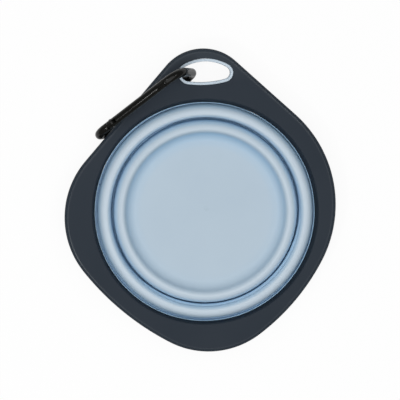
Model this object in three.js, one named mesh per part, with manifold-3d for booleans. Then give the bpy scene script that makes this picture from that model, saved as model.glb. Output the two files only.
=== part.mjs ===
// Collapsible pet bowl, folded flat: a rigid rim frame with a hanging hole, a rubber bowl that opens in two
// steps, and a spring-gate carabiner hooked through the hole.
// Millimetres, +Z up. The bowl axis is Z, the hanging hole lies towards +Y, and z = 0 is the underside of the
// bowl's base.
import * as THREE from 'three';
import { mergeVertices } from 'three/addons/utils/BufferGeometryUtils.js';
import Module from 'manifold-3d';

const wasm = await Module();
wasm.setup();
const rad = THREE.MathUtils.degToRad;

// Clearances
const GAP = 0.3; // between neighbouring pieces
const PIN_GAP = 0.15; // round the small pins of the carabiner

// Rubber bowl, as folded flat, from the collar inwards
const RUBBER = 1; // thickness of the walls
const LIP = 0.7; // thickness of the ring bonded into the collar
const LIP_HEIGHT = 3.1;
const LIP_FOOT = 1.1; // thickness of the web under the outer groove
const LIP_SEAT = 0.9; // lip above the foot of the collar
const GROOVE = 0.5; // between the lip and the upper hump
const FOLD_LEAN = rad(10.3); // lean of the folding walls, which narrow upwards
const WALL_LEAN = rad(7.6); // lean of the wall between the humps, which widens upwards
const UPPER_ROUND = 2.6; // outer round of the upper hump
const UPPER_INSIDE = 1.5; // inner round of the upper hump
const FOLD_WIDTH = 0.9; // open width of the fold line between the humps
const FOLD_DEPTH = 8.9; // fold line below the crests
const LOWER_ROUND = 2; // outer round of the lower hump
const CREST_ROUND = 0.5; // inner edge of the lower crest
const BASE_LEAN = rad(22.5); // slope of the wall between lower crest and floor
const DISH = 4.4; // floor below the crests
const FLOOR = 1.5; // thickness of the floor
const FLOOR_ROUND = 0.9; // between floor and wall
const HEEL_ROUND = 1.6; // under the edge of the floor
const SPLIT = rad(60); // where a folding wall ends on its arch, from the horizontal

// Rim frame
const COLLAR_RADIUS = 49.2; // mouth of the bowl
const COLLAR_WALL = 1.5;
const COLLAR_DEPTH = 11.6; // foot of the collar below the crests
const RIM_ABOVE = 0.6; // top of the frame above the crests
const PLATE = 2.2;
const EDGE_HEIGHT = 4.5; // turned-down outer edge
const EDGE_WALL = 1.8;
const EDGE_ROUND = 1.5;
const MOUTH_ROUND = 0.8;
const FOOT_CHAMFER = 0.4;
const BOSS_WALL = 1.6; // round the hanging hole
const BOSS_HEIGHT = 6.4;
const LINING = 1.25; // rubber lining of the hanging hole
const LINING_ROUND = 0.4;

// Carabiner. Corner circles of the rod's centre line in its own plane: hinge end, back of the wide end, nose.
const ROD = 1.95; // rod radius
const ROD_CORNERS = [
  { x: 0, y: 0, r: 5.6, flank: Infinity },
  { x: 36, y: -9, r: 5.9, flank: Infinity },
  { x: 34.74, y: 2.52, r: 7, flank: Infinity },
];
const CARABINER_REACH = new THREE.Vector3(-34.8, -23.65, 3.15); // hinge end, from the hole's left end and its boss
const CARABINER_ASIDE = 2.28; // hole's left end beside the back of the collar, across the carabiner
const CARABINER_HEADING = rad(36.5);
const CARABINER_PITCH = rad(12.2); // the wide end is higher
const CARABINER_ROLL = rad(78.6); // nearly on edge
const HINGE_END = 1.8; // rod past its bend, up to the hinge joint
const TAB = 1.3; // thickness of the hinge tab
const TAB_HALF = 1.5;
const CAM_LOW = 1.9; // cam radius with the gate closed
const CAM_TOE = new THREE.Vector2(2.45, -1);
const HINGE_PIN = 0.75;
const HINGE_HEAD = 0.2; // pin standing out of each cheek
const SPRING_BORE = 0.95;
const SPRING_ROOM = 11; // depth of the spring's bore
const PLUNGER = 0.75;
const PLUNGER_LENGTH = 2.9;
const COIL = 0.68; // mean radius of the spring
const COIL_WIRE = 0.16;
const COIL_TURNS = 9;
const TONGUE = 1.2; // thickness of the hooked nose tongue
const TONGUE_LENGTH = 3.75;
const LATCH_PIN = 0.55;
const LATCH_BACK = 2.15; // latch pin behind the nose joint

// Facets
const SEGMENTS = 60; // round the bowl
const STEP = 4.6; // along the frame's outline
const HOLE_STEP = 1.9; // along the hanging hole
const SIDES = 12; // round the rod
const FINE = rad(24); // step of a profile arc

// Levels
const CREST_Z = FLOOR + DISH;
const FOLD_Z = CREST_Z - FOLD_DEPTH;
const RIM_TOP = CREST_Z + RIM_ABOVE;
const COLLAR_FOOT = CREST_Z - COLLAR_DEPTH;
const LIP_LOW = COLLAR_FOOT + LIP_SEAT;
const UPPER_FOOT = LIP_LOW + LIP_FOOT + GAP;
const BOSS_FOOT = RIM_TOP - BOSS_HEIGHT;

// Radii of the bowl. A leaning wall runs into the round of its crest, so its foot lies so far beside the crest.
const beside = (lean, round, height) => (round + (height - round) * Math.sin(lean)) / Math.cos(lean);
const FOLD_HALF = FOLD_WIDTH / 2;
const LIP_OUTER = COLLAR_RADIUS - GAP;
const UPPER_OUTER = LIP_OUTER - LIP - GROOVE;
const UPPER_CREST = UPPER_OUTER - beside(FOLD_LEAN, UPPER_ROUND, CREST_Z - UPPER_FOOT);
const VALLEY = UPPER_CREST - beside(WALL_LEAN, UPPER_INSIDE, FOLD_DEPTH) - FOLD_HALF / Math.cos(WALL_LEAN);
const LOWER_CREST = VALLEY - beside(FOLD_LEAN, LOWER_ROUND, FOLD_DEPTH) - FOLD_HALF / Math.cos(FOLD_LEAN);

const point = (x, y) => new THREE.Vector2(x, y);

// Left end of the hanging hole: as high as it takes for the carabiner to lie along the back of the collar.
const holeX = -6.9;
const holeY = (COLLAR_RADIUS + COLLAR_WALL + CARABINER_ASIDE + holeX * Math.sin(CARABINER_HEADING))
  / Math.cos(CARABINER_HEADING);

// Corner circles of the frame's outline and of the lining's outside, counter-clockwise. A lobe reaches so far
// beyond the collar, and the top lobe is set round the hole. Each flank leads on to the next corner with the
// radius given, and Infinity is a straight flank.
const lobe = (toward, reach, r, flank) => {
  const out = COLLAR_RADIUS + reach - r;
  return { x: out * Math.cos(rad(toward)), y: out * Math.sin(rad(toward)), r, flank };
};
const FRAME_CORNERS = [
  { x: holeX + 5.8, y: holeY - 10.3, r: 21.2, flank: Infinity },
  lobe(186.1, 12.93, 38.6, 118),
  lobe(-86.6, 13.24, 37.1, 97),
  lobe(36.1, 9.18, 53.8, Infinity),
];
const HOLE_CORNERS = [
  { x: holeX, y: holeY, r: 4.65, flank: 42.2 },
  { x: holeX + 14.8, y: holeY + 0.4, r: 4.05, flank: 18 },
];

function arc(cx, cy, r, from, to, step = FINE) {
  const n = Math.max(1, Math.ceil(Math.abs(to - from) / step - 1e-6));
  return Array.from({ length: n + 1 }, (_, k) => {
    const a = from + ((to - from) * k) / n;
    return point(cx + r * Math.cos(a), cy + r * Math.sin(a));
  });
}

// Body of revolution about Z from a profile of (radius, height), counter-clockwise.
function turned(profile, segments = SEGMENTS) {
  return new THREE.LatheGeometry(profile, segments).rotateX(Math.PI / 2);
}

function ringBody(profile, segments = SEGMENTS) {
  return turned([...profile, profile[0].clone()], segments);
}

// One stretch of an outline: at(t, offset) is the point at the fraction t, moved outwards by the offset.
function arcSpan(c, from, to) {
  const sweep = (((to - from) % (2 * Math.PI)) + 2 * Math.PI) % (2 * Math.PI);
  const at = (t, offset) => {
    const a = from + sweep * t;
    return point(c.x + (c.r + offset) * Math.cos(a), c.y + (c.r + offset) * Math.sin(a));
  };
  return { at, length: sweep * c.r, sweep };
}

function lineSpan(a, b, angle) {
  const end = (c, offset) => {
    return point(c.x + (c.r + offset) * Math.cos(angle), c.y + (c.r + offset) * Math.sin(angle));
  };
  const at = (t, offset) => end(a, offset).lerp(end(b, offset), t);
  return { at, length: end(a, 0).distanceTo(end(b, 0)), sweep: 0 };
}

// Outward normal where the flank leaves corner a and where it reaches corner b.
function flankBetween(a, b) {
  const span = Math.hypot(b.x - a.x, b.y - a.y);
  const heading = Math.atan2(b.y - a.y, b.x - a.x);
  if (a.flank === Infinity) {
    const angle = heading - Math.PI / 2 + Math.asin((a.r - b.r) / span);
    return { from: angle, to: angle };
  }
  const da = a.flank - a.r;
  const db = a.flank - b.r;
  const along = (da * da - db * db + span * span) / (2 * span);
  const aside = Math.sqrt(da * da - along * along);
  const x = a.x + along * Math.cos(heading) - aside * Math.sin(heading);
  const y = a.y + along * Math.sin(heading) + aside * Math.cos(heading);
  const from = Math.atan2(a.y - y, a.x - x);
  const to = Math.atan2(b.y - y, b.x - x);
  return { from, to, centre: { x, y, r: a.flank } };
}

// Corner, flank, corner, flank and so on, all tangent.
function outlineSpans(corners) {
  const n = corners.length;
  const joins = corners.map((a, i) => flankBetween(a, corners[(i + 1) % n]));
  return corners.flatMap((a, i) => {
    const b = corners[(i + 1) % n];
    const join = joins[i];
    const corner = arcSpan(a, joins[(i + n - 1) % n].to, join.from);
    const flank = join.centre ? arcSpan(join.centre, join.from, join.to) : lineSpan(a, b, join.from);
    return [corner, flank];
  });
}

// Points of an outline at an offset, always the same number, so that offsets can be skinned together.
function outlinePoints(spans, step, offset) {
  return spans.flatMap((span) => {
    const n = Math.max(1, Math.round(span.length / step));
    return Array.from({ length: n }, (_, k) => span.at(k / n, offset));
  });
}

// Skin over rings of points. A closed skin joins the last ring to the first, an open one gets two end faces.
function skin(rings, closed) {
  const count = rings[0].length;
  const index = [];
  const last = closed ? rings.length : rings.length - 1;
  for (let i = 0; i < last; i += 1) {
    const here = i * count;
    const next = ((i + 1) % rings.length) * count;
    for (let k = 0; k < count; k += 1) {
      const l = (k + 1) % count;
      index.push(here + k, here + l, next + l, here + k, next + l, next + k);
    }
  }
  if (!closed) {
    const top = (rings.length - 1) * count;
    for (let k = 1; k < count - 1; k += 1) {
      index.push(0, k + 1, k, top, top + k, top + k + 1);
    }
  }
  const geometry = new THREE.BufferGeometry();
  geometry.setAttribute('position', new THREE.Float32BufferAttribute(rings.flat().flatMap((p) => p.toArray()), 3));
  geometry.setIndex(index);
  return geometry;
}

const level = (points, z) => points.map((p) => new THREE.Vector3(p.x, p.y, z));

// Upright prism between two heights.
function prism(points, low, high) {
  return skin([level(points, low), level(points, high)], false);
}

function solid(geometry) {
  const bare = geometry.clone();
  bare.deleteAttribute('normal');
  bare.deleteAttribute('uv');
  const merged = mergeVertices(bare, 1e-4);
  const vertProperties = new Float32Array(merged.getAttribute('position').array);
  const triVerts = new Uint32Array(merged.getIndex().array);
  return new wasm.Manifold(new wasm.Mesh({ numProp: 3, vertProperties, triVerts }));
}

function surface(body) {
  const mesh = body.getMesh();
  const geometry = new THREE.BufferGeometry();
  geometry.setAttribute('position', new THREE.Float32BufferAttribute(mesh.vertProperties, 3));
  geometry.setIndex(Array.from(mesh.triVerts));
  return geometry;
}

// Rubber bowl. Each hump is a folding wall outside, an arch, and a rigid ring inside it.
function lipRing() {
  const low = LIP_LOW;
  const top = low + LIP_HEIGHT;
  const inner = LIP_OUTER - LIP;
  return ringBody([
    point(UPPER_OUTER - RUBBER, low),
    point(LIP_OUTER, low),
    point(LIP_OUTER, top - LIP / 2),
    ...arc(LIP_OUTER - LIP / 2, top - LIP / 2, LIP / 2, 0, Math.PI, rad(60)).slice(1),
    point(inner, low + LIP_FOOT),
    point(UPPER_OUTER - RUBBER, low + LIP_FOOT),
  ]);
}

// From the two points of its foot, inner and outer, up to the arch and over it to the split.
function foldingWall(crest, round, foot) {
  const z = CREST_Z - round;
  const end = SPLIT - GAP / (round - RUBBER / 2);
  return ringBody([
    ...foot,
    ...arc(crest, z, round, FOLD_LEAN, end),
    ...arc(crest, z, round - RUBBER, end, FOLD_LEAN),
  ]);
}

function upperFold() {
  const foot = [RUBBER / Math.cos(FOLD_LEAN), 0].map((inwards) => point(UPPER_OUTER - inwards, UPPER_FOOT));
  return foldingWall(UPPER_CREST, UPPER_ROUND, foot);
}

function lowerFold() {
  const sin = Math.sin(FOLD_LEAN);
  const cos = Math.cos(FOLD_LEAN);
  const foot = [FOLD_HALF + RUBBER, FOLD_HALF].map((out) => {
    return point(VALLEY - out * cos - GAP * sin, FOLD_Z - out * sin + GAP * cos);
  });
  return foldingWall(LOWER_CREST, LOWER_ROUND, foot);
}

function middleRing() {
  const z = CREST_Z - UPPER_ROUND;
  const insideZ = CREST_Z - UPPER_INSIDE;
  const wall = Math.PI - WALL_LEAN;
  const fold = FOLD_LEAN - Math.PI;
  return ringBody([
    ...arc(UPPER_CREST, z, UPPER_ROUND, SPLIT, Math.PI / 2),
    ...arc(UPPER_CREST, insideZ, UPPER_INSIDE, Math.PI / 2, wall).slice(1),
    ...arc(VALLEY, FOLD_Z, FOLD_HALF, -WALL_LEAN, fold, rad(45)),
    ...arc(VALLEY, FOLD_Z, FOLD_HALF + RUBBER, fold, -WALL_LEAN),
    ...arc(UPPER_CREST, insideZ, UPPER_INSIDE - RUBBER, wall, Math.PI / 2, rad(45)),
    ...arc(UPPER_CREST, z, UPPER_ROUND - RUBBER, Math.PI / 2, SPLIT).slice(1),
  ]);
}

function bowlBase() {
  const round = LOWER_ROUND;
  const z = CREST_Z - round;
  const slope = Math.PI - BASE_LEAN;
  const edge = arc(LOWER_CREST, CREST_Z - CREST_ROUND, CREST_ROUND, Math.PI / 2, slope, rad(40));
  const start = edge[edge.length - 1];
  const inwards = (height) => start.x - (start.y - height) * Math.tan(BASE_LEAN);
  const floorEdge = inwards(FLOOR);
  const across = RUBBER / Math.cos(BASE_LEAN);
  const hollow = round - RUBBER;
  const meet = Math.acos((inwards(z + hollow) + across - LOWER_CREST) / hollow);
  const corner = point(inwards(0) + across, 0);
  const turn = new THREE.QuadraticBezierCurve(
    point(corner.x - HEEL_ROUND, 0), corner, point(inwards(HEEL_ROUND) + across, HEEL_ROUND));
  const bend = new THREE.QuadraticBezierCurve(
    point(inwards(FLOOR + FLOOR_ROUND), FLOOR + FLOOR_ROUND),
    point(floorEdge, FLOOR),
    point(floorEdge - FLOOR_ROUND, FLOOR),
  );
  return turned([
    point(0, 0),
    ...turn.getPoints(4),
    ...arc(LOWER_CREST, z, hollow, meet, SPLIT),
    ...arc(LOWER_CREST, z, round, SPLIT, Math.PI / 2),
    ...edge.slice(1),
    ...bend.getPoints(3),
    point(0, FLOOR),
  ]);
}

// Rim frame: plate, outer edge and collar as one skin, then the boss and the hanging hole.
function rimFrame() {
  const spans = outlineSpans(FRAME_CORNERS);
  const rim = (offset, z) => level(outlinePoints(spans, STEP, offset), z);
  const angles = outlinePoints(spans, STEP, 0).map((p) => p.angle());
  const ring = (radius, z) => angles.map((a) => new THREE.Vector3(radius * Math.cos(a), radius * Math.sin(a), z));
  const foot = RIM_TOP - EDGE_HEIGHT;
  const under = RIM_TOP - PLATE;
  const back = COLLAR_RADIUS + COLLAR_WALL;
  const shell = skin([
    rim(-FOOT_CHAMFER, foot),
    rim(0, foot + FOOT_CHAMFER),
    ...arc(-EDGE_ROUND, RIM_TOP - EDGE_ROUND, EDGE_ROUND, 0, Math.PI / 2).map((p) => rim(p.x, p.y)),
    ...arc(COLLAR_RADIUS + MOUTH_ROUND, RIM_TOP - MOUTH_ROUND, MOUTH_ROUND, Math.PI / 2, Math.PI)
      .map((p) => ring(p.x, p.y)),
    ring(COLLAR_RADIUS, COLLAR_FOOT),
    ring(back, COLLAR_FOOT),
    ring(back, under),
    rim(-EDGE_WALL, under),
    rim(-EDGE_WALL, foot),
  ], true);
  const hole = outlineSpans(HOLE_CORNERS);
  const around = (offset) => outlinePoints(hole, HOLE_STEP, offset);
  const boss = solid(prism(around(GAP + BOSS_WALL), BOSS_FOOT, RIM_TOP - PLATE / 2));
  const through = solid(prism(around(GAP), BOSS_FOOT - 1, RIM_TOP + 1));
  return surface(solid(shell).add(boss).subtract(through));
}

function holeLining() {
  const spans = outlineSpans(HOLE_CORNERS);
  const ring = (p) => level(outlinePoints(spans, HOLE_STEP, p.x), p.y);
  const low = BOSS_FOOT;
  const r = LINING_ROUND;
  return skin([
    point(0, low),
    point(0, RIM_TOP - r),
    ...arc(-r, RIM_TOP - r, r, 0, Math.PI / 2, rad(45)).slice(1),
    ...arc(r - LINING, RIM_TOP - r, r, Math.PI / 2, Math.PI, rad(45)),
    point(-LINING, low),
  ].map(ring), true);
}

// Carabiner, in its own plane: X along it, Y towards the gate.
const rodSpans = outlineSpans(ROD_CORNERS);
const gateSpan = rodSpans[5];
const gateFrom = gateSpan.at(1, 0);
const gateTo = gateSpan.at(0, 0);
const gateAngle = gateTo.clone().sub(gateFrom).angle();
const hingeAt = HINGE_END + GAP + ROD; // hinge pin, from the bend of the rod
const noseAt = gateSpan.length - hingeAt; // nose joint, from the hinge pin

// Round rod through stations, each a function from offset to a point of the plane.
function rodThrough(stations) {
  return skin(stations.map((at) => Array.from({ length: SIDES }, (_, k) => {
    const a = (2 * Math.PI * k) / SIDES;
    const p = at(ROD * Math.cos(a));
    return new THREE.Vector3(p.x, p.y, -ROD * Math.sin(a));
  })), false);
}

// Flat plate in the plane of the carabiner.
function plate(points, thickness) {
  return solid(prism(points, -thickness / 2, thickness / 2));
}

function pin(x, radius, half) {
  return solid(new THREE.CylinderGeometry(radius, radius, 2 * half, SIDES).rotateX(Math.PI / 2).translate(x, 0, 0));
}

function box(x0, x1, y0, y1, half) {
  return plate([point(x0, y0), point(x1, y0), point(x1, y1), point(x0, y1)], 2 * half);
}

// From the gate's own frame (hinge pin at the origin, nose along +X, outside along +Y) to the carabiner's plane.
const gateFrame = new THREE.Matrix4()
  .makeTranslation(gateFrom.x, gateFrom.y, 0)
  .multiply(new THREE.Matrix4().makeRotationZ(gateAngle))
  .multiply(new THREE.Matrix4().makeTranslation(hingeAt, 0, 0));
const carabinerFrame = new THREE.Matrix4()
  .makeRotationFromEuler(new THREE.Euler(CARABINER_ROLL, -CARABINER_PITCH, CARABINER_HEADING, 'ZYX'))
  .setPosition(holeX + CARABINER_REACH.x, holeY + CARABINER_REACH.y, BOSS_FOOT + CARABINER_REACH.z);
const inGate = (geometry) => geometry.applyMatrix4(gateFrame);
const inPlace = (geometry) => geometry.applyMatrix4(carabinerFrame);

function carabinerBody() {
  const stations = [(offset) => gateSpan.at(1 - HINGE_END / gateSpan.length, offset)];
  rodSpans.slice(0, 5).forEach((span) => {
    const n = Math.max(1, Math.ceil(span.sweep / rad(20)));
    for (let k = 0; k < n; k += 1) {
      stations.push((offset) => span.at(k / n, offset));
    }
  });
  stations.push((offset) => gateSpan.at(0, offset));
  const rodBody = solid(rodThrough(stations));
  const rootX = -ROD - GAP - 1.2;
  const cam = plate([
    point(rootX, -TAB_HALF),
    point(CAM_TOE.x - 0.25, -TAB_HALF),
    CAM_TOE,
    ...arc(0, 0, CAM_LOW, 0, Math.asin(TAB_HALF / CAM_LOW)),
    point(rootX, TAB_HALF),
  ], TAB);
  const tip = noseAt - TONGUE_LENGTH;
  const latch = noseAt - LATCH_BACK;
  const side = LATCH_PIN + GAP;
  const tongue = plate([
    point(tip, -TAB_HALF),
    point(latch - side, -TAB_HALF),
    ...arc(latch, GAP / 2, side, Math.PI, 0, rad(30)),
    point(latch + side, -TAB_HALF),
    point(noseAt + 1, -TAB_HALF),
    point(noseAt + 1, TAB_HALF),
    point(tip, TAB_HALF),
  ], TONGUE);
  const fittings = cam.add(tongue).subtract(pin(0, HINGE_PIN + PIN_GAP, TAB));
  return surface(rodBody.add(solid(inGate(surface(fittings)))));
}

function carabinerGate() {
  const end = noseAt - GAP;
  const slot = TAB / 2 + GAP;
  const bar = solid(rodThrough([end, -ROD].map((x) => (offset) => point(x, offset))));
  const rounding = pin(0, ROD, ROD + 1).add(box(0, end + 1, -ROD - 1, ROD + 1, ROD + 1));
  const deep = Math.hypot(CAM_TOE.x, CAM_TOE.y) + GAP;
  const bore = solid(new THREE.CylinderGeometry(SPRING_BORE, SPRING_BORE, SPRING_ROOM, SIDES)
    .rotateZ(Math.PI / 2).translate(deep + SPRING_ROOM / 2 - 0.1, 0, 0));
  const body = bar.intersect(rounding)
    .subtract(box(-ROD - 1, deep, -ROD - 1, ROD + 1, slot))
    .subtract(box(noseAt - TONGUE_LENGTH - GAP - 0.1, noseAt, -ROD - 1, ROD + 1, TONGUE / 2 + GAP))
    .subtract(pin(0, HINGE_PIN + PIN_GAP, ROD + 1))
    .subtract(pin(noseAt - LATCH_BACK, LATCH_PIN + PIN_GAP, ROD + 1))
    .subtract(bore);
  return inGate(surface(body));
}

const plungerTip = CAM_LOW + GAP;
const plungerBack = plungerTip + PLUNGER_LENGTH;
const boreEnd = Math.hypot(CAM_TOE.x, CAM_TOE.y) + GAP + SPRING_ROOM - 0.1;

function gatePlunger() {
  const nose = arc(0, PLUNGER, PLUNGER, -Math.PI / 2, 0, rad(30));
  const profile = [...nose, point(PLUNGER, PLUNGER_LENGTH), point(0, PLUNGER_LENGTH)];
  const body = new THREE.LatheGeometry(profile, SIDES).rotateZ(-Math.PI / 2).translate(plungerTip, 0, 0);
  return inGate(body);
}

// Coil spring as one unbroken tube, 8 steps of 5 sides to a turn.
function gateSpring() {
  const from = plungerBack + GAP + COIL_WIRE;
  const to = boreEnd - GAP - COIL_WIRE;
  const steps = COIL_TURNS * 8;
  const pitch = (to - from) / COIL_TURNS;
  const rings = Array.from({ length: steps + 1 }, (_, i) => {
    const a = (2 * Math.PI * i) / 8;
    const out = new THREE.Vector3(0, Math.cos(a), Math.sin(a));
    const along = new THREE.Vector3(pitch / (2 * Math.PI), -COIL * Math.sin(a), COIL * Math.cos(a)).normalize();
    const side = new THREE.Vector3().crossVectors(along, out);
    const centre = out.clone().multiplyScalar(COIL).setX(from + (pitch * i) / 8);
    return Array.from({ length: 5 }, (_unused, k) => {
      const b = (2 * Math.PI * k) / 5;
      return centre.clone().addScaledVector(out, COIL_WIRE * Math.cos(b)).addScaledVector(side, COIL_WIRE * Math.sin(b));
    });
  });
  console.log(`least gap between turns of the gate spring: ${(pitch - 2 * COIL_WIRE).toFixed(3)} mm`);
  return inGate(skin(rings, false));
}

const finish = (color, roughness, metalness) => new THREE.MeshStandardMaterial({ color, roughness, metalness });
const slate = finish(0x353c44, 0.55, 0);
const paleBlue = finish(0xb4c6d4, 0.6, 0);
const black = finish(0x101113, 0.25, 0.4);
const steel = finish(0x9a9da0, 0.35, 1);

const bowl = new THREE.Group();
bowl.name = 'collapsible_bowl';
function add(name, geometry, material) {
  const mesh = new THREE.Mesh(geometry, material);
  mesh.name = name;
  bowl.add(mesh);
}

add('rim_frame', rimFrame(), slate);
add('bowl_lip', lipRing(), paleBlue);
add('upper_fold', upperFold(), paleBlue);
add('middle_ring', middleRing(), paleBlue);
add('lower_fold', lowerFold(), paleBlue);
add('bowl_base', bowlBase(), paleBlue);
add('hole_lining', holeLining(), paleBlue);
add('carabiner_body', inPlace(carabinerBody()), black);
add('carabiner_gate', inPlace(carabinerGate()), black);
add('gate_hinge_pin', inPlace(inGate(surface(pin(0, HINGE_PIN, ROD + HINGE_HEAD)))), steel);
add('gate_latch_pin', inPlace(inGate(surface(pin(noseAt - LATCH_BACK, LATCH_PIN, ROD - GAP)))), steel);
add('gate_spring', inPlace(gateSpring()), steel);
add('gate_plunger', inPlace(gatePlunger()), steel);

export default bowl;
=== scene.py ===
# %% [markdown]
# # A collapsible pet bowl, folded flat
# A rubber bowl hangs in a rigid plastic frame, and a small carabiner is clipped through the frame's hanging hole. The
# solids come packed from CAD with their joints. Each of them gets the smooth surface and the finish of the real thing
# here, in the same place, and all but the folding walls and the spring ride on the same body, so that the rings of the
# bowl still move and the carabiner still swings.

import bmesh
import bpy
import numpy as np
from mathutils import Matrix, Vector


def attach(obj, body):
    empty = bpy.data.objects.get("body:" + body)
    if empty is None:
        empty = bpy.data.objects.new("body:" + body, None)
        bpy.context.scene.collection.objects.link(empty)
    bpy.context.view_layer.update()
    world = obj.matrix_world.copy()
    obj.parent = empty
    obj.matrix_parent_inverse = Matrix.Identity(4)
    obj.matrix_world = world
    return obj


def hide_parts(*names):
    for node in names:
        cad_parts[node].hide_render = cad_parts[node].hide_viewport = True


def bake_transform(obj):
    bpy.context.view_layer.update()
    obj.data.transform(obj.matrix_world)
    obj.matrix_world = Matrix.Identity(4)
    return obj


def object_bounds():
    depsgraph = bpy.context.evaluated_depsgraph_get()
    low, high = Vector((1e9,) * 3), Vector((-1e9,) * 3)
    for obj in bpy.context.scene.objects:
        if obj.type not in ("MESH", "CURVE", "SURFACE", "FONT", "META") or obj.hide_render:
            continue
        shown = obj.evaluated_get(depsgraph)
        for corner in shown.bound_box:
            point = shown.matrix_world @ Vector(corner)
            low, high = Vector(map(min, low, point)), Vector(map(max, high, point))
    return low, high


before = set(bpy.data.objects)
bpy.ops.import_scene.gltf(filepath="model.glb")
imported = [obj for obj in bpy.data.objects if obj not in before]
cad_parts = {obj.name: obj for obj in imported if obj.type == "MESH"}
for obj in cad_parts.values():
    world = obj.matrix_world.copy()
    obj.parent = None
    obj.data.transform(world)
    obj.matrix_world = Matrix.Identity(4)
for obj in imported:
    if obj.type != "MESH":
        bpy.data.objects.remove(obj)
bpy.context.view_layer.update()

MM = 0.001

# %% [markdown]
# ## The camera
# The bowl is seen from nearly straight above through a long lens. A camera could be placed by eye; here it is worked
# out from a few numbers, because each of them can then be set by itself. A line through the middle of the picture
# meets the bowl at TARGET, the camera leans a little to the left and towards the hanging hole, and FIELD is the width
# of the scene at that point. The picture is square, so the lens follows from the sensor, the distance and the field.

# %% Camera
TARGET = np.array([-2.53, 5.515, 5.9])
LEAN_LEFT, LEAN_UP = np.radians([2.0, 5.8])
DISTANCE, FIELD, SENSOR = 600.0, 175.66, 36.0

to_camera = np.array([-np.tan(LEAN_LEFT), np.tan(LEAN_UP), 1.0])
to_camera /= np.linalg.norm(to_camera)
right = np.cross([0.0, 1.0, 0.0], to_camera)
right /= np.linalg.norm(right)
turn = np.eye(4)
turn[:3, :3] = np.stack([right, np.cross(to_camera, right), to_camera], axis=1)
turn[:3, 3] = (TARGET + DISTANCE * to_camera) * MM

lens = bpy.data.cameras.new("camera")
lens.sensor_fit = "HORIZONTAL"
lens.sensor_width = SENSOR
lens.lens = SENSOR * DISTANCE / FIELD
lens.clip_start, lens.clip_end = 0.01, 20.0
camera = bpy.data.objects.new("camera", lens)
camera.matrix_world = Matrix(turn.tolist())
bpy.context.scene.collection.objects.link(camera)
bpy.context.scene.camera = camera
print(f"lens {lens.lens:.1f} mm at {DISTANCE:.0f} mm")

# %% [markdown]
# ## Shader sums
# A finish is easier to read as a sum than as a drawing of nodes. Wire wraps one socket: adding, subtracting and
# multiplying wires makes Math nodes, and `node` makes any other node from its type, its settings and its inputs.


# %% Wires
class Wire:
    """A shader socket that can be used in sums."""

    def __init__(self, tree, socket=None):
        self.tree, self.socket = tree, socket

    def node(self, kind, settings=None, inputs=None, out=0):
        """Any node: settings are set first, then inputs by name or number, each a value or a Wire."""
        made = self.tree.nodes.new(kind)
        for key, value in (settings or {}).items():
            setattr(made, key, value)
        for key, value in (inputs or {}).items():
            if isinstance(value, Wire):
                self.tree.links.new(value.socket, made.inputs[key])
            else:
                made.inputs[key].default_value = value
        return Wire(self.tree, made.outputs[out] if len(made.outputs) else None)

    def sum(self, operation, first, second):
        """A Math node on two values or wires."""
        return self.node("ShaderNodeMath", {"operation": operation}, {0: first, 1: second})

    def __add__(self, other):
        return self.sum("ADD", self, other)

    def __sub__(self, other):
        return self.sum("SUBTRACT", self, other)

    def __rsub__(self, other):
        return self.sum("SUBTRACT", other, self)

    def __mul__(self, other):
        return self.sum("MULTIPLY", self, other)

    __radd__, __rmul__ = __add__, __mul__

    def clipped(self, low, high):
        """0 below low, 1 above high, and straight between them."""
        return self.node("ShaderNodeMapRange", {"clamp": True}, {"Value": self, "From Min": low, "From Max": high})

    def mixed(self, first, second):
        """From the first colour to the second as this value goes from 0 to 1."""
        return self.node("ShaderNodeMix", {"data_type": "RGBA"}, {0: self, 6: first, 7: second}, out=2)


print("a wire adds, subtracts, multiplies, clips and mixes")


# %% Finishes from wires
def finish(name, **constants):
    """A material with one Principled shader: its constants are set on the shader's own sockets."""
    material = bpy.data.materials.new(name)
    material.use_nodes = True
    tree = material.node_tree
    shader = tree.nodes["Principled BSDF"]
    for key, value in constants.items():
        shader.inputs[key.replace("_", " ")].default_value = value
    return material, Wire(tree), shader


def plug(shader, **wires):
    """Leads wires to the sockets of a shader that vary over the surface."""
    for key, wire in wires.items():
        wire.tree.links.new(wire.socket, shader.inputs[key.replace("_", " ")])


def noise(start, scale, detail=2.0, roughness=0.5):
    """Noise in the object's own coordinates, about 0 to 1; scale counts its spots per metre."""
    place = start.node("ShaderNodeTexCoord", out=3)
    return start.node("ShaderNodeTexNoise", None, {"Vector": place, "Scale": scale, "Detail": detail,
                                                    "Roughness": roughness})


print("a finish is one Principled shader with wires plugged in")

# %% [markdown]
# ## Floor and light
# The bowl lies on a plain white table. A diffuse table alone would come out grey, and one that only glows would show
# no shadow, so the two are mixed: camera rays see mostly a white of strength 1, and the rest keeps the bowl's soft
# shadow. Mirrored rays see less of that white, so that the black rod stays black. The table goes down with the base
# and so never hides the opened bowl.

# %% Table
TABLE, TABLE_GAP, TABLE_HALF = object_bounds()[0].z / MM, 0.02, 3000.0
GLOW_SHARE, MIRRORED = 0.92, 0.3

corners = np.array([[-1, -1], [1, -1], [1, 1], [-1, 1]]) * TABLE_HALF
table_mesh = bpy.data.meshes.new("table")
table_mesh.from_pydata((np.c_[corners, np.full(4, TABLE - TABLE_GAP)] * MM).tolist(), [], [[0, 1, 2, 3]])
table = bpy.data.objects.new("table", table_mesh)
bpy.context.scene.collection.objects.link(table)
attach(table, "base")

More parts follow.
